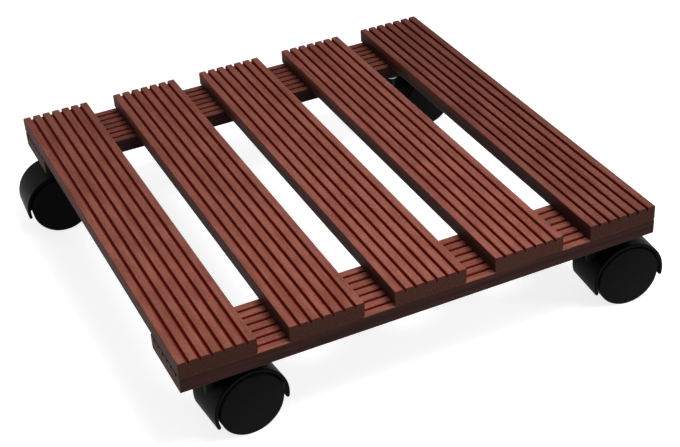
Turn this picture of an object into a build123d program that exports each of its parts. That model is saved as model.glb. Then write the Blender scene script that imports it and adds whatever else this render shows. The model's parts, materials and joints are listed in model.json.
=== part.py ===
"""Plant caddy: a square slatted deck on four hooded twin-wheel swivel casters.

Millimetres. +X runs across the slats, +Y along the slats towards the back edge, +Z up.
The origin is on the floor, under the centre of the deck.
"""
import os

from build123d import *

# Deck boards: one extruded profile, cut to length for the slats and the rails
deck_length = 300.0         # across the slats
deck_depth = 300.0          # along the slats
board_width = 45.0
board_thickness = 10.0
board_corner = 1.5          # rounding of the two lower long edges
slat_count = 5
rib_count = 7
groove_width = 1.67
groove_depth = 2.3
groove_round = 0.5          # rounding of a groove's floor corners
rib_round = 0.8             # rounding of the rib tops

# Screws that hold each slat to a rail, driven from below
slat_screw_radius = 1.6
slat_screw_head_lip = 1.8   # how far the head stands out past the shank, in radius
slat_screw_head_height = 2.0
slat_screw_cover = 1.7      # material left under the groove floor above a tip
slat_screw_ribs = 2         # screw offset from the rail's centre line, counted in ribs
screw_fit = 0.03            # radial gap between a screw and its hole in a board
screw_point = 2.5           # length of a screw's tapered tip
drive_width = 0.8           # width of one arm of the cross recess
drive_depth = 1.0

# Caster: wheel, hood and how far the wheel trails behind the swivel axis
wheel_radius = 20.0
wheel_round = 1.2           # rounding of the tread's corners
wheel_rim = 3.0             # thickness of the tread ring
wheel_face_wall = 2.2       # thickness of the closed outer face
wheel_dome = 0.7            # how far the face bulges at its centre
wheel_hub_wall = 2.4
wheel_spokes = 6            # ribs inside a wheel, between the hub and the tread ring
wheel_spoke_width = 1.4
wheel_spoke_inset = 0.8     # from the wheel's inner face to the ribs' edge
wheel_gap = 1.2             # radial gap between the tread and the hood
wheel_side_gap = 0.5        # gap between a wheel and the swivel socket
wheel_face_inset = 0.1      # from the hood's rim inwards to the edge of a wheel's face
trail = 16.0
hood_wall = 2.2
hood_half_width = 14.4
hood_rim_round = 0.6
hood_trailing_angle = 9.0   # degrees below the axle where the hood ends, trailing side
hood_leading_angle = 17.0   # the same on the swivel side
hood_top_gap = 7.1          # from the top of the hood to the mounting plate
caster_offset = 2.5         # swivel axis inwards from the outer slat's centre line
web_thickness = 4.0         # wall between the two wheels
web_drop = 5.5              # how far the web reaches below the axle
axle_boss_wall = 3.5
socket_wall = 2.1
socket_floor = 2.0
socket_collar_lip = 1.4      # how far the collar stands out past the socket
socket_collar_height = 1.5

# Axle and its running fit in the wheels
axle_radius = 2.5
axle_cover = 2.3            # from the axle's end to the edge of the wheel's face
axle_chamfer = 0.4
wheel_fit = 0.05            # radial running clearance of a wheel on the axle
wheel_end_gap = 0.3         # axial clearance of a wheel at the web and at the axle's end
snap_depth = 0.3            # depth of the groove that keeps a wheel on the axle
snap_width = 1.2
snap_from_end = 2.0         # from the axle's end to the groove

# King pin, its plate and the parts that let the caster swivel
plate_size = 38.0
plate_thickness = 2.0
plate_corner = 4.0
plate_hole_edge = 5.5       # from the plate's edge to the middle of a hole
plate_hole_play = 0.2
pin_radius = 3.5
pin_length = 22.0           # from the flange to the tip
pin_chamfer = 0.6
pin_flange_lip = 2.5        # how far the flange stands out past the pin
pin_flange_thickness = 1.2
rivet_radius = 3.0
rivet_head_lip = 1.4
rivet_head_height = 1.1
rivet_fit = 0.02
swivel_fit = 0.08           # radial running clearance of the socket on the pin
swivel_gap = 0.3            # axial clearance of the swivelling parts
washer_thickness = 1.0
washer_fit = 0.1
ring_height = 1.5
ring_depth = 0.5            # how deep the grip ring sits in the pin
ring_stand = 0.6            # how far the grip ring stands out past the pin
ring_fit = 0.05
ring_split = 40.0           # degrees left open in the grip ring
ring_from_tip = 3.0         # from the pin's tip to the ring's groove

# Screws that hold a caster to the deck
plate_screw_radius = 2.0
plate_screw_head_lip = 1.7
plate_screw_head_height = 2.2
plate_screw_head_round = 0.8
plate_screw_cover = 3.7     # material left under the groove floor above a tip

# Swivel angle of each caster as it stands: the direction in which its wheels trail
rest_angle = {"front_left": 4.7, "front_right": -5.2, "back_left": 176.7, "back_right": 4.8}
side = {"front_left": (-1, -1), "front_right": (1, -1), "back_left": (-1, 1), "back_right": (1, 1)}

# Worked out from the sizes above
hood_inner_radius = wheel_radius + wheel_gap
hood_radius = hood_inner_radius + hood_wall
plate_bottom = wheel_radius + hood_radius + hood_top_gap
rail_bottom = plate_bottom + plate_thickness
slat_bottom = rail_bottom + board_thickness
rib_width = (board_width - (rib_count - 1) * groove_width) / rib_count
rib_pitch = rib_width + groove_width
rail_y = (deck_depth - board_width) / 2
outer_slat_x = (deck_length - board_width) / 2
slat_pitch = 2 * outer_slat_x / (slat_count - 1)
slat_x = [i * slat_pitch - outer_slat_x for i in range(slat_count)]
swivel_x = outer_slat_x - caster_offset
slat_screw_x = slat_screw_ribs * rib_pitch
slat_screw_length = 2 * board_thickness - groove_depth - slat_screw_cover
plate_screw_length = plate_thickness + 2 * board_thickness - groove_depth - plate_screw_cover
plate_hole_spacing = plate_size - 2 * plate_hole_edge
plate_hole_radius = plate_screw_radius + plate_hole_play
plate_screw_head_radius = plate_screw_radius + plate_screw_head_lip
slat_screw_head_radius = slat_screw_radius + slat_screw_head_lip
rivet_head_radius = rivet_radius + rivet_head_lip
pin_flange_radius = pin_radius + pin_flange_lip
pin_flange_bottom = plate_bottom - pin_flange_thickness
pin_tip = pin_flange_bottom - pin_length
washer_bottom = pin_flange_bottom - swivel_gap - washer_thickness
socket_radius = pin_radius + socket_wall
socket_collar_radius = socket_radius + socket_collar_lip
socket_bottom = pin_tip - swivel_gap - socket_floor
ring_bottom = pin_tip + ring_from_tip
ring_inner_radius = pin_radius - ring_depth + ring_fit
ring_outer_radius = pin_radius + ring_stand
wheel_inner_face = socket_radius + wheel_side_gap
wheel_face = hood_half_width - wheel_face_inset
wheel_hub_face = web_thickness / 2 + wheel_end_gap
wheel_hub_radius = axle_radius + wheel_fit + wheel_hub_wall
axle_boss_radius = axle_radius + axle_boss_wall
axle_length = 2 * (wheel_face - axle_cover)
snap_start = axle_length / 2 - snap_from_end - snap_width


def turned(points):
    """Solid of revolution about Z from (radius, height) corners."""
    corners = [(r, 0, h) for r, h in points]
    return revolve(make_face(Polyline(*corners, close=True)), Axis.Z)


def corners_at(sketch, height):
    """Vertices of a sketch that lie at one height above its X axis."""
    return [v for v in sketch.vertices() if abs(v.Y - height) < 1e-4]


def board_profile():
    """Cross-section of a board: rounded ribs on top, two rounded lower edges."""
    top = board_thickness / 2
    profile = Sketch() + Rectangle(board_width, board_thickness)
    for i in range(rib_count - 1):
        x = (i - (rib_count - 2) / 2) * rib_pitch
        profile -= Pos(x, top - groove_depth / 2) * Rectangle(groove_width, groove_depth)
    profile = fillet(corners_at(profile, -top), min(board_corner, board_thickness / 3))
    profile = fillet(corners_at(profile, top - groove_depth), min(groove_round, groove_width / 3))
    return fillet(corners_at(profile, top), min(rib_round, rib_width / 3, groove_depth / 3))


def board(plane, length):
    """A board centred on the origin, its ribs up."""
    return extrude(plane * board_profile(), length / 2, both=True)


def crossings():
    """Centre of each place where a slat lies on a rail."""
    return [(x, y) for y in (-rail_y, rail_y) for x in slat_x]


def slat_screw_places():
    return [(x + s * slat_screw_x, y) for x, y in crossings() for s in (-1, 1)]


def swivel_place(name):
    sx, sy = side[name]
    return sx * swivel_x, sy * rail_y


def plate_screw_places(name):
    x, y = swivel_place(name)
    half = plate_hole_spacing / 2
    return [(x + i * half, y + j * half) for i in (-1, 1) for j in (-1, 1)]


def drive_recess(head_radius):
    """Cross recess cut upwards into a head whose flat side is at zero."""
    arm = head_radius * 1.1
    one = Box(arm, drive_width, drive_depth, align=(Align.CENTER, Align.CENTER, Align.MIN))
    return one + Rot(0, 0, 90) * one


def flat_screw():
    """Countersunk screw pointing up, its head flush with zero."""
    body = turned([
        (0, 0),
        (slat_screw_head_radius, 0),
        (slat_screw_radius, slat_screw_head_height),
        (slat_screw_radius, slat_screw_length - screw_point),
        (0, slat_screw_length),
    ])
    return body - drive_recess(slat_screw_head_radius)


def flat_screw_hole():
    """Space that a countersunk screw takes in the boards."""
    wide = screw_fit
    return turned([
        (0, 0),
        (slat_screw_head_radius + wide, 0),
        (slat_screw_radius + wide, slat_screw_head_height),
        (slat_screw_radius + wide, slat_screw_length - screw_point),
        (0, slat_screw_length + wide),
    ])


def pan_screw():
    """Pan head screw pointing up, the underside of its head at zero."""
    head = Pos(0, 0, -plate_screw_head_height) * Cylinder(
        plate_screw_head_radius,
        plate_screw_head_height,
        align=(Align.CENTER, Align.CENTER, Align.MIN),
    )
    head = fillet(head.edges().sort_by(Axis.Z)[0], min(plate_screw_head_round, plate_screw_head_height / 2))
    head -= Pos(0, 0, -plate_screw_head_height) * drive_recess(plate_screw_head_radius)
    shank = turned([
        (0, 0),
        (plate_screw_radius, 0),
        (plate_screw_radius, plate_screw_length - screw_point),
        (0, plate_screw_length),
    ])
    return head + shank


def pan_screw_hole():
    """Space that a pan head screw's shank takes in the boards."""
    wide = plate_screw_radius + screw_fit
    return turned([
        (0, 0),
        (wide, 0),
        (wide, plate_screw_length - screw_point),
        (0, plate_screw_length + screw_fit),
    ])


def screw_holes():
    """All the holes that the screws make in the deck, as one list of cutters."""
    cutters = [Pos(x, y, rail_bottom) * flat_screw_hole() for x, y in slat_screw_places()]
    for name in side:
        cutters += [Pos(x, y, plate_bottom) * pan_screw_hole() for x, y in plate_screw_places(name)]
    return cutters


def near(cutter, x_reach, y_reach, centre):
    """True if a cutter's middle lies within reach of a board's centre line."""
    place = cutter.bounding_box().center()
    return abs(place.X - centre[0]) < x_reach and abs(place.Y - centre[1]) < y_reach


def slat(index, cutters):
    centre = (slat_x[index], 0)
    piece = Pos(slat_x[index], 0, slat_bottom + board_thickness / 2) * board(Plane.XZ, deck_depth)
    return piece - [c for c in cutters if near(c, board_width / 2, deck_depth / 2, centre)]


def rail(y, cutters):
    piece = Pos(0, y, rail_bottom + board_thickness / 2) * board(Plane.YZ, deck_length)
    return piece - [c for c in cutters if near(c, deck_length / 2, board_width / 2, (0, y))]


def mounting_plate():
    """Steel plate, its centre on the swivel axis and its underside at zero."""
    outline = RectangleRounded(plate_size, plate_size, min(plate_corner, plate_size / 4))
    plate = extrude(outline, plate_thickness)
    for place in GridLocations(plate_hole_spacing, plate_hole_spacing, 2, 2):
        plate -= place * Cylinder(plate_hole_radius, 3 * plate_thickness)
    sink = plate_thickness - rivet_head_height
    plate -= turned([
        (0, -rivet_fit),
        (rivet_radius + rivet_fit, -rivet_fit),
        (rivet_radius + rivet_fit, sink),
        (rivet_head_radius + rivet_fit, plate_thickness),
        (0, plate_thickness),
    ])
    return plate


def king_pin():
    """Pin riveted into the plate, with a flange below it and a groove near its tip."""
    groove = pin_radius - ring_depth
    groove_top = ring_bottom + ring_height + ring_fit
    return turned([
        (0, pin_tip),
        (pin_radius - pin_chamfer, pin_tip),
        (pin_radius, pin_tip + pin_chamfer),
        (pin_radius, ring_bottom - ring_fit),
        (groove, ring_bottom - ring_fit),
        (groove, groove_top),
        (pin_radius, groove_top),
        (pin_radius, pin_flange_bottom),
        (pin_flange_radius, pin_flange_bottom),
        (pin_flange_radius, plate_bottom),
        (rivet_radius, plate_bottom),
        (rivet_radius, plate_bottom + plate_thickness - rivet_head_height),
        (rivet_head_radius, plate_bottom + plate_thickness),
        (0, plate_bottom + plate_thickness),
    ])


def grip_ring():
    """Split spring ring in the pin's groove, which keeps the socket on the pin."""
    section = make_face(Polyline(
        (ring_inner_radius, 0, ring_bottom),
        (ring_outer_radius, 0, ring_bottom),
        (ring_outer_radius, 0, ring_bottom + ring_height),
        (ring_inner_radius, 0, ring_bottom + ring_height),
        close=True,
    ))
    return revolve(section, Axis.Z, 360 - ring_split)


def thrust_washer():
    inner = pin_radius + washer_fit
    return turned([
        (inner, washer_bottom),
        (socket_collar_radius, washer_bottom),
        (socket_collar_radius, washer_bottom + washer_thickness),
        (inner, washer_bottom + washer_thickness),
    ])


def hood_shell():
    """Drum over both wheels, open below, with rounded ends and rims."""
    start = -hood_trailing_angle
    sweep = 180 + hood_trailing_angle + hood_leading_angle
    middle = CenterArc((0, 0), hood_radius - hood_wall / 2, start, sweep)
    shell = extrude(Plane.XZ * SlotArc(middle, hood_wall), hood_half_width, both=True)
    rims = [e for e in shell.edges() if abs(abs(e.center().Y) - hood_half_width) < 1e-4]
    return fillet(rims, min(hood_rim_round, hood_wall / 3))


def web():
    """Wall between the wheels, inside the hood, with the boss that holds the axle."""
    disc = Circle(hood_inner_radius + hood_wall / 4)
    reach = 2 * hood_radius
    below = Pos(0, -web_drop - reach / 2) * Rectangle(reach, reach)
    outline = disc - below + Circle(axle_boss_radius)
    return extrude(Plane.XZ * outline, web_thickness / 2, both=True)


def socket_outside():
    """Round socket for the pin, with a collar on top."""
    collar_bottom = washer_bottom - socket_collar_height
    return turned([
        (0, socket_bottom),
        (socket_radius, socket_bottom),
        (socket_radius, collar_bottom - (socket_collar_radius - socket_radius)),
        (socket_collar_radius, collar_bottom),
        (socket_collar_radius, washer_bottom),
        (0, washer_bottom),
    ])


def socket_bore():
    """Space for the pin and for the grip ring that stands out of it."""
    bore = pin_radius + swivel_fit
    pocket = ring_outer_radius + swivel_gap
    return turned([
        (0, pin_tip - swivel_gap),
        (bore, pin_tip - swivel_gap),
        (bore, ring_bottom - swivel_gap),
        (pocket, ring_bottom - swivel_gap),
        (pocket, ring_bottom + ring_height + swivel_gap),
        (bore, ring_bottom + ring_height + swivel_gap),
        (bore, washer_bottom),
        (0, washer_bottom),
    ])


def housing():
    """Hood, web, axle boss and socket in one moulding, on its own swivel axis."""
    at_axle = Pos(trail, 0, wheel_radius)
    body = at_axle * (hood_shell() + web())
    body += socket_outside()
    body -= socket_bore()
    body -= at_axle * Rot(90, 0, 0) * Cylinder(axle_radius, 2 * hood_half_width)
    return body


def axle():
    """Steel pin through the web, with a snap groove near each end."""
    half = axle_length / 2
    groove = axle_radius - snap_depth
    right = [
        (axle_radius, snap_start),
        (groove, snap_start),
        (groove, snap_start + snap_width),
        (axle_radius, snap_start + snap_width),
        (axle_radius, half - axle_chamfer),
        (axle_radius - axle_chamfer, half),
        (0, half),
    ]
    left = [(r, -h) for r, h in reversed(right)]
    return Pos(trail, 0, wheel_radius) * Rot(-90, 0, 0) * turned(left + right)


def wheel(way):
    """One wheel: a closed domed face, a tread ring and a hub with a blind bore."""
    bore = axle_radius + wheel_fit
    snap = bore - snap_depth
    snap_in = snap_start + wheel_end_gap
    snap_out = snap_start + snap_width - wheel_end_gap
    floor = wheel_face - wheel_face_wall
    apex = (0, 0, wheel_face + wheel_dome)
    outline = Polyline(
        (wheel_radius, 0, wheel_face),
        (wheel_radius, 0, wheel_inner_face),
        (wheel_radius - wheel_rim, 0, wheel_inner_face),
        (wheel_radius - wheel_rim, 0, floor),
        (wheel_hub_radius, 0, floor),
        (wheel_hub_radius, 0, wheel_hub_face),
        (bore, 0, wheel_hub_face),
        (bore, 0, snap_in),
        (snap, 0, snap_in),
        (snap, 0, snap_out),
        (bore, 0, snap_out),
        (bore, 0, axle_length / 2 + wheel_end_gap),
        (0, 0, axle_length / 2 + wheel_end_gap),
        apex,
    )
    dome = TangentArc(apex, (wheel_radius, 0, wheel_face), tangent=(1, 0, 0))
    shape = revolve(make_face(outline + dome), Axis.Z)
    shape = fillet(rim_edges(shape), min(wheel_round, wheel_rim / 3))
    shape += spokes()
    return Pos(trail, 0, wheel_radius) * Rot(-90 * way, 0, 0) * shape


def spokes():
    """Ribs inside a wheel, from the hub to the tread ring and down to the closed face."""
    inner = wheel_hub_radius - wheel_hub_wall / 2
    outer = wheel_radius - wheel_rim / 2
    start = wheel_inner_face + wheel_spoke_inset
    depth = wheel_face - wheel_face_wall / 2 - start
    corner = (Align.MIN, Align.CENTER, Align.MIN)
    spoke = Pos(inner, 0, start) * Box(outer - inner, wheel_spoke_width, depth, align=corner)
    return [Rot(0, 0, i * 360 / wheel_spokes) * spoke for i in range(wheel_spokes)]


def rim_edges(shape):
    """The two circles that bound a wheel's tread."""
    circles = [e for e in shape.edges() if e.geom_type == GeomType.CIRCLE]
    return [e for e in circles if abs(e.radius - wheel_radius) < 1e-4]


def save(name, shape):
    export_step(shape, f"parts/{name}.step")


def build_deck():
    cutters = screw_holes()
    for index in range(slat_count):
        save(f"slat_{index + 1}", slat(index, cutters))
    save("front_rail", rail(-rail_y, cutters))
    save("back_rail", rail(rail_y, cutters))
    screws = [Pos(x, y, rail_bottom) * flat_screw() for x, y in slat_screw_places()]
    save("slat_screws", Compound(screws))


def build_caster(name):
    x, y = swivel_place(name)
    fixed = Pos(x, y, 0)
    turning = fixed * Rot(0, 0, rest_angle[name])
    save(f"{name}_mounting_plate", fixed * Pos(0, 0, plate_bottom) * mounting_plate())
    screws = [Pos(px, py, plate_bottom) * pan_screw() for px, py in plate_screw_places(name)]
    save(f"{name}_plate_screws", Compound(screws))
    save(f"{name}_king_pin", fixed * king_pin())
    save(f"{name}_grip_ring", fixed * grip_ring())
    save(f"{name}_thrust_washer", turning * thrust_washer())
    save(f"{name}_housing", turning * housing())
    save(f"{name}_axle", turning * axle())
    save(f"{name}_wheel_a", turning * wheel(1))
    save(f"{name}_wheel_b", turning * wheel(-1))


os.makedirs("parts", exist_ok=True)
build_deck()
for caster in side:
    build_caster(caster)
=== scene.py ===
"""Looks of the plant caddy: ribbed wood-plastic boards, black hooded casters and zinc steel.

Places, sizes and relief depths are in metres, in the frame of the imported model. The materials'
patterns and zones are in millimetres, because they work on object coordinates times a thousand.
"""
import json
import math

import bpy
from mathutils import Matrix, Vector


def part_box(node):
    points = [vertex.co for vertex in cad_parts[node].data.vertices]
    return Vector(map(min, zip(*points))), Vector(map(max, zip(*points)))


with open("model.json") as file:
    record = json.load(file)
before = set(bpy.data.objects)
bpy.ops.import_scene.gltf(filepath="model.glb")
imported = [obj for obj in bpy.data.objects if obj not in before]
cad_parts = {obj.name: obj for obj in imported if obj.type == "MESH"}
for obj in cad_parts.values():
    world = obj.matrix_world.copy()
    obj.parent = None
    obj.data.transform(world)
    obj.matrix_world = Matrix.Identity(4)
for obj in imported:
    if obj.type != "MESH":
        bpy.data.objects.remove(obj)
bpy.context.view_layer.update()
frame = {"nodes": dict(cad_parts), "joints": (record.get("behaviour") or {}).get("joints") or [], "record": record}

MM = 1000.0
WHITE = (1, 1, 1, 1)

# The photograph's camera
IMAGE_WIDTH = 680
FOCAL_PIXELS = 1444.4
SENSOR_WIDTH = 36.0
CAMERA_PLACE = Vector((-0.30368, -0.72238, 0.54322))
CAMERA_TARGET = Vector((-0.01928, -0.07363, 0.0725))
CAMERA_ROLL = -3.63
CLIP_START = 0.01
CLIP_END = 50.0

# Lamps: place, target, width of the disk, power in watts and spread in degrees
LAMPS = {
    "key": ((0.22, -0.37, 1.0), (-0.06, -0.17, 0.07), 0.60, 1.12, 50.0),
    "fill": ((0.9, -0.8, 0.40), (0.15, -0.12, 0.06), 0.5, 0.32, 45.0),
}

# How bright the floor and the surroundings are, where 1 is white
FLOOR_BOUNCE = (0.22, 0.22, 0.22, 1)
FLOOR_SEEN = (0.60, 0.60, 0.60, 1)
FLOOR_GLOW = 0.80
HORIZON_LIGHT = 0.10
OVERHEAD_LIGHT = 0.42
HORIZON_HEIGHT = -0.1

FLOOR_REACH = 6.0
FLOOR_ROUGH = 0.9

# Colours as they look on screen, 0 to 255
BRUSHED_TOP = (150, 90, 77)
BRUSHED_DARK = (122, 68, 56)
FIBRE_FLECK = (176, 124, 108)
PORE = (92, 42, 32)
GROOVE_RED = (128, 38, 24)
# Extruded skin on the boards' sides and underside: partly the skin's own darker colour and partly painted shade,
# set darker than the real skin so that these faces look shaded
SKIN_AND_SHADE = (70, 43, 38)
SKIN_AND_SHADE_DARK = (48, 29, 26)
# Colour of the painted highlight along the upper part of the slats' long sides
EDGE_HIGHLIGHT_RED = (132, 70, 60)
SAWN_END = (92, 56, 46)
# Dark grit of the sawn ends, also used as painted shade in the grooves' mouths near the ends
SAWN_DARK_AND_MOUTH_SHADE = (60, 35, 28)
HOOD_BLACK = (14, 14, 15)
HOOD_WORN = (23, 23, 24)
WHEEL_BLACK = (12, 12, 13)
TREAD_DUST = (54, 52, 49)
ZINC = (196, 199, 203)
ZINC_DULL = (160, 163, 166)

# How light each board is: partly its own tone, because no two of them are quite the same, and partly painted
# shade, which makes slat_5 and the back_rail darker where less light falls on them
BOARD_TONES_AND_SHADE = {
    "slat_1": 0.86,
    "slat_2": 0.88,
    "slat_3": 0.95,
    "slat_4": 0.97,
    "slat_5": 0.72,
    "front_rail": 0.90,
    "back_rail": 0.70,
}

# Noise on the boards: its period across them, its period along them, and its detail. The grit
# on their sawn ends, like every noise below, has a scale and a detail.
BOARD_PATTERNS = {
    "brush": (0.30, 14.0, 3.0),
    "broad": (2.4, 70.0, 2.0),
    "blotch": (11.0, 26.0, 4.0),
    "fleck": (0.45, 1.6, 1.0),
    "pore": (0.60, 2.6, 1.0),
}
GRIT = (1.5, 3.0)

# Noise values between which one colour turns into the other
WASH_TURN = (0.32, 0.66)
SKIN_TURN = (0.3, 0.7)
CUT_TURN = (0.35, 0.65)

# Coats over the wash on the rib tops: pattern, values between which it shows, share and colour
TOP_COATS = (
    ("fleck", (0.58, 0.74), 0.45, FIBRE_FLECK),
    ("pore", (0.42, 0.28), 0.55, PORE),
    ("brush", (0.55, 0.30), 0.30, BRUSHED_DARK),
)
BLOTCH_SHARE = 0.6
BROAD_SHARE = 0.4

# Depths below the rib tops between which each zone of a board starts
CROWN_ZONE = (1.0, 0.35)
GROOVE_ZONE = (3.0, 2.7)
# The zone of the painted highlight on the slats' sides
HIGHLIGHT_ZONE = (6.5, 1.0)

# Distances from a board's long sides and from its ends between which its inside stops
SIDE_ZONE = (1.0, 0.5)
# TIP_ZONE sets where the painted shade in the grooves' mouths starts near a board's ends
TIP_ZONE = (2.2, 0.2)

# How far a surface has to face up, or towards a board's end
FACES_UP = (0.35, 0.8)
FACES_END = (0.6, 0.9)

# Painted highlight on the upper part of a slat's long sides, stronger towards the back where light catches the
# rounded edge: where it grows stronger, by how much, and from what
HIGHLIGHT_SPAN = (-60.0, 90.0)
HIGHLIGHT_GROWTH = 0.65
HIGHLIGHT_LEAST = 0.30

# Boards' roughness: everywhere, added on the ribs, added on the brush lines
BOARD_ROUGH = 0.54
RIB_ROUGH = 0.12
LINE_ROUGH = 0.14

# Boards' relief: shares of brush lines and pores, and how much of it the unbrushed skin has
LINE_RELIEF = 0.6
PORE_RELIEF = 0.4
SKIN_RELIEF = 0.2
GRAIN_DEPTH = 0.00022
SAW_DEPTH = 0.00030
BOARD_SPECULAR = 0.06

# Hoods: scale and detail of each noise, scuff marks, roughness, relief and gloss
HOOD_GRAIN = (2.6, 2.0)
HOOD_CLOUD = (0.07, 3.0)
HOOD_SCUFF = (1.0, 4.0)
SCUFF_STRETCH = (0.9, 0.9, 0.15)
SCUFF_TURN = (0.62, 0.76)
SCUFF_SHARE = 0.5
HOOD_ROUGH = 0.34
HOOD_UNEVEN = 0.16
HOOD_DEPTH = 0.00004
HOOD_SPECULAR = 0.02

# Wheels: radii where the tread starts and the hub ends, distances from the caster's middle
# where the outer face starts, then noises, roughness, relief and gloss
TREAD_ZONE = (19.2, 19.9)
HUB_ZONE = (6.0, 3.0)
FACE_ZONE = (14.0, 14.4)
WHEEL_GRAIN = (2.2, 2.0)
WHEEL_DUST = (0.35, 4.0)
DUST_TURN = (0.42, 0.75)
DUST_SHARE = 0.55
RINGS_PER_MM = 3.0
RING_NOISE = (1.0, 2.0)
WHEEL_ROUGH = 0.40
TREAD_ROUGH = 0.18
RING_DEPTH = 0.00002
WHEEL_DEPTH = 0.00003
WHEEL_SPECULAR = 0.03

# Zinc plate on the screws, pins, rings, washers and axles
SPANGLE = (0.35, 4.0)
SPANGLE_TURN = (0.35, 0.7)
SCRATCH = (1.0, 2.0)
SCRATCH_STRETCH = (0.4, 6.0, 6.0)
ZINC_ROUGH = 0.22
ZINC_UNEVEN = 0.22
SCRATCH_DEPTH = 0.00002

# Black coating of the mounting plates
COAT_PEEL = (0.9, 2.0)
COAT_CLOUD = (0.12, 3.0)
COAT_WORN_SHARE = 0.5
COAT_ROUGH = 0.46
COAT_UNEVEN = 0.12
PEEL_DEPTH = 0.00006
COAT_SPECULAR = 0.10


def linear(colour, tone=1.0):
    """Linear RGBA of an sRGB colour given as 0 to 255, times a tone."""
    parts = [c / 255 for c in colour]
    parts = [c / 12.92 if c <= 0.04045 else ((c + 0.055) / 1.055) ** 2.4 for c in parts]
    return (*(c * tone for c in parts), 1.0)


class Tree:
    """Short calls for building one material's nodes."""

    def __init__(self, name):
        self.material = bpy.data.materials.new(name)
        self.material.use_nodes = True
        self.tree = self.material.node_tree
        self.shader = self.tree.nodes["Principled BSDF"]

    def add(self, kind, inputs=None, **settings):
        made = self.tree.nodes.new(kind)
        for key, value in settings.items():
            setattr(made, key, value)
        for key, value in (inputs or {}).items():
            self.put(made.inputs[key], value)
        return made

    def put(self, socket, value):
        """Link a socket to another one, or set its own value."""
        if isinstance(value, bpy.types.NodeSocket):
            self.tree.links.new(value, socket)
        else:
            socket.default_value = value

    def math(self, operation, a, b=0.0):
        return self.add("ShaderNodeMath", {0: a, 1: b}, operation=operation).outputs[0]

    def times(self, a, b):
        return self.math("MULTIPLY", a, b)

    def other(self, value):
        """1 where value is 0, and 0 where it is 1."""
        return self.math("SUBTRACT", 1.0, value)

    def line(self, value, slope, start):
        """start where value is 0, and slope more where it is 1."""
        return self.math("ADD", self.times(value, slope), start)

    def vector(self, operation, a, b):
        return self.add("ShaderNodeVectorMath", {0: a, 1: b}, operation=operation).outputs[0]

    def place(self, centre=(0, 0, 0)):
        """Object coordinates from a centre given in metres, in millimetres."""
        found = self.add("ShaderNodeTexCoord").outputs["Object"]
        return self.vector("MULTIPLY", self.vector("SUBTRACT", found, centre), (MM, MM, MM))

    def split(self, vector):
        return self.add("ShaderNodeSeparateXYZ", {0: vector}).outputs

    def join(self, x, y, z):
        return self.add("ShaderNodeCombineXYZ", {0: x, 1: y, 2: z}).outputs[0]

    def step(self, value, low, high):
        """0 at low, 1 at high, smooth between."""
        made = self.add("ShaderNodeMapRange", {"Value": value, "From Min": low, "From Max": high})
        made.interpolation_type = "SMOOTHSTEP"
        return made.outputs["Result"]

    def mix(self, factor, a, b):
        """Colour from a to b. The node's sockets share their names, so they go by number."""
        made = self.add("ShaderNodeMix", data_type="RGBA")
        self.put(made.inputs[0], factor)
        self.put(made.inputs[6], a)
        self.put(made.inputs[7], b)
        return made.outputs[2]

    def noise(self, vector, scale, detail):
        inputs = {"Vector": vector, "Scale": scale, "Detail": detail}
        return self.add("ShaderNodeTexNoise", inputs).outputs["Fac"]

    def bump(self, height, depth, normal=None):
        """Normal of a surface raised by height (0 to 1) times depth in metres."""
        made = self.add("ShaderNodeBump", {"Height": height, "Distance": depth, "Strength": 1.0})
        if normal:
            self.put(made.inputs["Normal"], normal)
        return made.outputs["Normal"]

    def finish(self, colour, roughness, normal=None, metallic=0.0, specular=0.5):
        self.put(self.shader.inputs["Base Color"], colour)
        self.put(self.shader.inputs["Roughness"], roughness)
        self.shader.inputs["Metallic"].default_value = metallic
        self.shader.inputs["Specular IOR Level"].default_value = specular
        if normal:
            self.put(self.shader.inputs["Normal"], normal)
        return self.material


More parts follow.
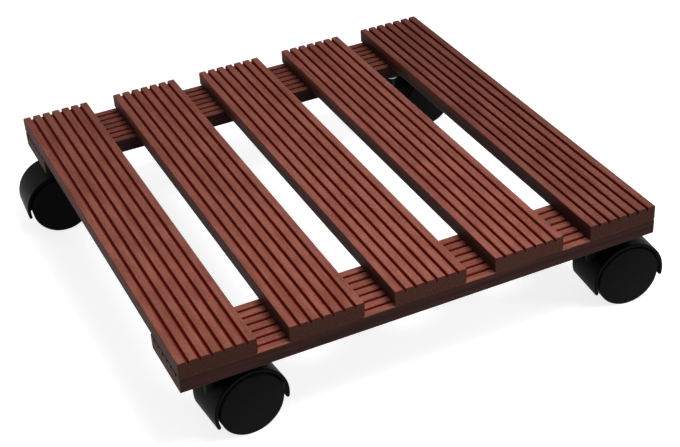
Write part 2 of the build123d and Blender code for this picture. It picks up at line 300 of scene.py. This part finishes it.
def board_material(node, along):
    """Wood-plastic board: brushed rib tops, red grooves with painted shade in their mouths, dark extruded skin
    that is partly painted shade, a painted highlight along the slats' sides, and sawn ends.
    """
    t = Tree(node + "_board")
    low, high = (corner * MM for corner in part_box(node))
    centre = (low + high) / 2
    half = (high - low) / 2
    place = t.place()
    x, y, z = t.split(place)
    nx, ny, nz = t.split(t.add("ShaderNodeTexCoord").outputs["Normal"])
    if along == "Y":
        across, lengthwise, end = x, y, ny
        side, tip = (x, centre.x, half.x), (y, centre.y, half.y)
    else:
        across, lengthwise, end = y, x, nx
        side, tip = (y, centre.y, half.y), (x, centre.x, half.x)

    # A colour times the board's tone, which on slat_5 and the back_rail also holds painted shade
    def toned_and_shaded(colour):
        return linear(colour, BOARD_TONES_AND_SHADE[node])

    def streaks(wide, long, detail):
        """Noise stretched along the board."""
        scaled = [t.math("DIVIDE", *pair) for pair in ((across, wide), (lengthwise, long), (z, wide))]
        return t.noise(t.join(*scaled), 1.0, detail)

    def above(deep, shallow):
        """0 at a deep place below the rib tops, 1 at a shallow one."""
        return t.step(z, high.z - deep, high.z - shallow)

    def within(value, middle, reach, start, stop):
        """1 at the board's middle, falling to 0 from start to stop millimetres off its edge."""
        off = t.math("ABSOLUTE", t.math("SUBTRACT", value, middle))
        return t.step(off, reach - stop, reach - start)

    noise = {name: streaks(*pattern) for name, pattern in BOARD_PATTERNS.items()}
    grit = t.noise(place, *GRIT)

    brushed = t.times(t.step(nz, *FACES_UP), above(*CROWN_ZONE))
    inner = within(*side, *SIDE_ZONE)
    # Painted shade in the grooves' mouths near the board's ends
    mouth_shade = t.other(within(*tip, *TIP_ZONE))
    groove = t.times(above(*GROOVE_ZONE), inner)
    sawn = t.step(t.math("ABSOLUTE", end), *FACES_END)

    broad = t.times(noise["broad"], BROAD_SHARE)
    wash = t.math("ADD", t.times(noise["blotch"], BLOTCH_SHARE), broad)
    top = t.mix(t.step(wash, *WASH_TURN), toned_and_shaded(BRUSHED_DARK), toned_and_shaded(BRUSHED_TOP))
    for pattern, shows, share, coat in TOP_COATS:
        top = t.mix(t.times(t.step(noise[pattern], *shows), share), top, toned_and_shaded(coat))
    # Skin colour with painted shade: darker than the real skin on the sides and underside
    skin_and_shade = t.mix(t.step(noise["broad"], *SKIN_TURN), toned_and_shaded(SKIN_AND_SHADE_DARK), toned_and_shaded(SKIN_AND_SHADE))
    if along == "Y":
        # Painted highlight: the upper part of the slats' long sides lighter and redder, more so towards the back
        highlighted = t.times(above(*HIGHLIGHT_ZONE), t.other(inner))
        highlight_strength = t.line(t.step(lengthwise, *HIGHLIGHT_SPAN), HIGHLIGHT_GROWTH, HIGHLIGHT_LEAST)
        skin_and_shade = t.mix(t.times(highlighted, highlight_strength), skin_and_shade, toned_and_shaded(EDGE_HIGHLIGHT_RED))
    cut = t.mix(t.step(grit, *CUT_TURN), toned_and_shaded(SAWN_DARK_AND_MOUTH_SHADE), toned_and_shaded(SAWN_END))
    # Grooves red, darkened by painted shade in their mouths
    groove_and_mouth_shade = t.mix(mouth_shade, toned_and_shaded(GROOVE_RED), toned_and_shaded(SAWN_DARK_AND_MOUTH_SHADE))
    colour = t.mix(groove, skin_and_shade, groove_and_mouth_shade)
    colour = t.mix(brushed, colour, top)
    colour = t.mix(sawn, colour, cut)

    rough = t.line(brushed, RIB_ROUGH, BOARD_ROUGH)
    rough = t.math("ADD", rough, t.times(noise["brush"], LINE_ROUGH))
    pores = t.times(noise["pore"], PORE_RELIEF)
    relief = t.math("ADD", t.times(noise["brush"], LINE_RELIEF), pores)
    relief = t.times(relief, t.line(brushed, 1.0 - SKIN_RELIEF, SKIN_RELIEF))
    normal = t.bump(relief, GRAIN_DEPTH)
    normal = t.bump(t.times(grit, sawn), SAW_DEPTH, normal)
    return t.finish(colour, rough, normal, specular=BOARD_SPECULAR)


def hood_material():
    """Moulded black plastic with a fine grain, a little scuffed."""
    t = Tree("hood_plastic")
    place = t.place()
    grain = t.noise(place, *HOOD_GRAIN)
    cloud = t.noise(place, *HOOD_CLOUD)
    marks = t.noise(t.vector("MULTIPLY", place, SCUFF_STRETCH), *HOOD_SCUFF)
    scuff = t.times(t.step(marks, *SCUFF_TURN), SCUFF_SHARE)
    colour = t.mix(scuff, linear(HOOD_BLACK), linear(HOOD_WORN))
    rough = t.line(cloud, HOOD_UNEVEN, HOOD_ROUGH)
    return t.finish(colour, rough, t.bump(grain, HOOD_DEPTH), specular=HOOD_SPECULAR)


def level_hub(t, radius, along, axis):
    """The surface's normal, straightened at the middle of the wheel's outer face."""
    outside = t.step(t.math("ABSOLUTE", along), *FACE_ZONE)
    hub = t.times(t.step(radius, *HUB_ZONE), outside)
    outward = t.vector("MULTIPLY", axis, t.join(*[t.math("SIGN", along)] * 3))
    settings = {"vector_type": "NORMAL", "convert_from": "OBJECT"}
    turned = t.add("ShaderNodeVectorTransform", {0: outward}, **settings)
    mixed = t.add("ShaderNodeMix", data_type="VECTOR")
    t.put(mixed.inputs[0], hub)
    t.put(mixed.inputs[4], t.add("ShaderNodeNewGeometry").outputs["Normal"])
    t.put(mixed.inputs[5], turned.outputs[0])
    return mixed.outputs[1]


def wheel_material(name, centre, axis):
    """Black plastic wheel with turning marks on its face and a little floor dust on its tread."""
    t = Tree(name)
    place = t.place(centre)
    dot = t.add("ShaderNodeVectorMath", {0: place, 1: axis}, operation="DOT_PRODUCT")
    along = dot.outputs["Value"]
    length = t.add("ShaderNodeVectorMath", {0: place}, operation="LENGTH").outputs["Value"]
    square = t.math("SUBTRACT", t.times(length, length), t.times(along, along))
    radius = t.math("SQRT", square)
    tread = t.step(radius, *TREAD_ZONE)
    grain = t.noise(place, *WHEEL_GRAIN)
    dust = t.times(t.step(t.noise(place, *WHEEL_DUST), *DUST_TURN), tread)
    colour = t.mix(t.times(dust, DUST_SHARE), linear(WHEEL_BLACK), linear(TREAD_DUST))
    rough = t.line(tread, TREAD_ROUGH, WHEEL_ROUGH)
    rings = t.noise(t.join(t.times(radius, RINGS_PER_MM), 0.0, 0.0), *RING_NOISE)
    rings = t.times(rings, t.other(tread))
    normal = t.bump(rings, RING_DEPTH, level_hub(t, radius, along, axis))
    normal = t.bump(grain, WHEEL_DEPTH, normal)
    return t.finish(colour, rough, normal, specular=WHEEL_SPECULAR)


def steel_material():
    """Bright zinc plate on steel, a little uneven."""
    t = Tree("zinc_steel")
    place = t.place()
    spangle = t.noise(place, *SPANGLE)
    scratch = t.noise(t.vector("MULTIPLY", place, SCRATCH_STRETCH), *SCRATCH)
    colour = t.mix(t.step(spangle, *SPANGLE_TURN), linear(ZINC_DULL), linear(ZINC))
    rough = t.line(spangle, ZINC_UNEVEN, ZINC_ROUGH)
    return t.finish(colour, rough, t.bump(scratch, SCRATCH_DEPTH), metallic=1.0)


def coat_material():
    """Matt black coating on pressed steel."""
    t = Tree("black_steel")
    place = t.place()
    peel = t.noise(place, *COAT_PEEL)
    cloud = t.noise(place, *COAT_CLOUD)
    colour = t.mix(t.times(cloud, COAT_WORN_SHARE), linear(HOOD_BLACK), linear(HOOD_WORN))
    rough = t.line(cloud, COAT_UNEVEN, COAT_ROUGH)
    return t.finish(colour, rough, t.bump(peel, PEEL_DEPTH), specular=COAT_SPECULAR)


def dress(node, material):
    """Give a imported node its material."""
    mesh = frame["nodes"][node].data
    mesh.materials.clear()
    mesh.materials.append(material)


def dress_deck():
    """Boards: the slats lie along Y and the rails along X."""
    for node in BOARD_TONES_AND_SHADE:
        dress(node, board_material(node, "X" if node.endswith("_rail") else "Y"))


def dress_casters():
    """Steel and hoods by their material slot, and each wheel about its own axle."""
    finishes = {
        "zinc_steel": steel_material(),
        "black_steel": coat_material(),
        "hood_plastic": hood_material(),
    }
    for entry in frame["record"]["subparts"]:
        if entry["material_slot"] in finishes:
            dress(entry["node"], finishes[entry["material_slot"]])
    for joint in frame["joints"]:
        if joint["name"].endswith("_spin"):
            node = joint["child"]
            dress(node, wheel_material(node + "_plastic", joint["pos_m"], joint["axis"]))


def background_rays(tree):
    """1 for the rays that show the background: seen straight, in a gloss or through glass."""
    rays = tree.nodes.new("ShaderNodeLightPath").outputs
    seen = rays["Is Camera Ray"]
    for kind in ("Is Glossy Ray", "Is Transmission Ray"):
        most = tree.nodes.new("ShaderNodeMath")
        most.operation = "MAXIMUM"
        tree.links.new(seen, most.inputs[0])
        tree.links.new(rays[kind], most.inputs[1])
        seen = most.outputs[0]
    return seen


def make_floor():
    """Plain white floor that keeps the object's shadow."""
    mesh = bpy.data.meshes.new("floor")
    signs = ((-1, -1), (1, -1), (1, 1), (-1, 1))
    corners = [(i * FLOOR_REACH, j * FLOOR_REACH, 0) for i, j in signs]
    mesh.from_pydata(corners, [], [(0, 1, 2, 3)])
    floor = bpy.data.objects.new("floor", mesh)
    bpy.context.scene.collection.objects.link(floor)
    t = Tree("floor_white")
    seen = background_rays(t.tree)
    t.finish(t.mix(seen, FLOOR_BOUNCE, FLOOR_SEEN), FLOOR_ROUGH, specular=0.0)
    t.put(t.shader.inputs["Emission Color"], WHITE)
    t.put(t.shader.inputs["Emission Strength"], t.times(seen, FLOOR_GLOW))
    mesh.materials.append(t.material)


def make_world():
    """Pale light that is stronger from above; white where it shows."""
    world = bpy.data.worlds.new("studio")
    bpy.context.scene.world = world
    world.use_nodes = True
    nodes = world.node_tree.nodes
    links = world.node_tree.links
    background = nodes["Background"]
    direction = nodes.new("ShaderNodeSeparateXYZ")
    links.new(nodes.new("ShaderNodeTexCoord").outputs["Generated"], direction.inputs[0])
    sky = nodes.new("ShaderNodeMapRange")
    sky.inputs["From Min"].default_value = HORIZON_HEIGHT
    sky.inputs["To Min"].default_value = HORIZON_LIGHT
    sky.inputs["To Max"].default_value = OVERHEAD_LIGHT
    links.new(direction.outputs["Z"], sky.inputs["Value"])
    strength = nodes.new("ShaderNodeMix")
    links.new(background_rays(world.node_tree), strength.inputs["Factor"])
    links.new(sky.outputs["Result"], strength.inputs["A"])
    strength.inputs["B"].default_value = 1.0
    links.new(strength.outputs["Result"], background.inputs["Strength"])
    background.inputs["Color"].default_value = WHITE


def make_lamp(name, place, target, size, power, spread):
    """Soft round lamp that looks at its target."""
    light = bpy.data.lights.new(name, "AREA")
    light.shape = "DISK"
    light.size = size
    light.energy = power
    light.spread = math.radians(spread)
    lamp = bpy.data.objects.new(name, light)
    bpy.context.scene.collection.objects.link(lamp)
    lamp.location = place
    lamp.rotation_euler = (Vector(target) - Vector(place)).to_track_quat("-Z", "Y").to_euler()


def make_camera():
    """The camera that saw the photograph."""
    data = bpy.data.cameras.new("camera")
    data.sensor_width = SENSOR_WIDTH
    data.lens = FOCAL_PIXELS * SENSOR_WIDTH / IMAGE_WIDTH
    data.clip_start = CLIP_START
    data.clip_end = CLIP_END
    camera = bpy.data.objects.new("camera", data)
    bpy.context.scene.collection.objects.link(camera)
    aim = (CAMERA_TARGET - CAMERA_PLACE).to_track_quat("-Z", "Y").to_matrix().to_4x4()
    roll = Matrix.Rotation(math.radians(CAMERA_ROLL), 4, "Z")
    camera.matrix_world = Matrix.Translation(CAMERA_PLACE) @ aim @ roll
    bpy.context.scene.camera = camera


dress_deck()
dress_casters()
make_floor()
make_world()
for lamp_name, lamp_facts in LAMPS.items():
    make_lamp(lamp_name, *lamp_facts)
make_camera()
bpy.context.scene.view_settings.view_transform = "Standard"
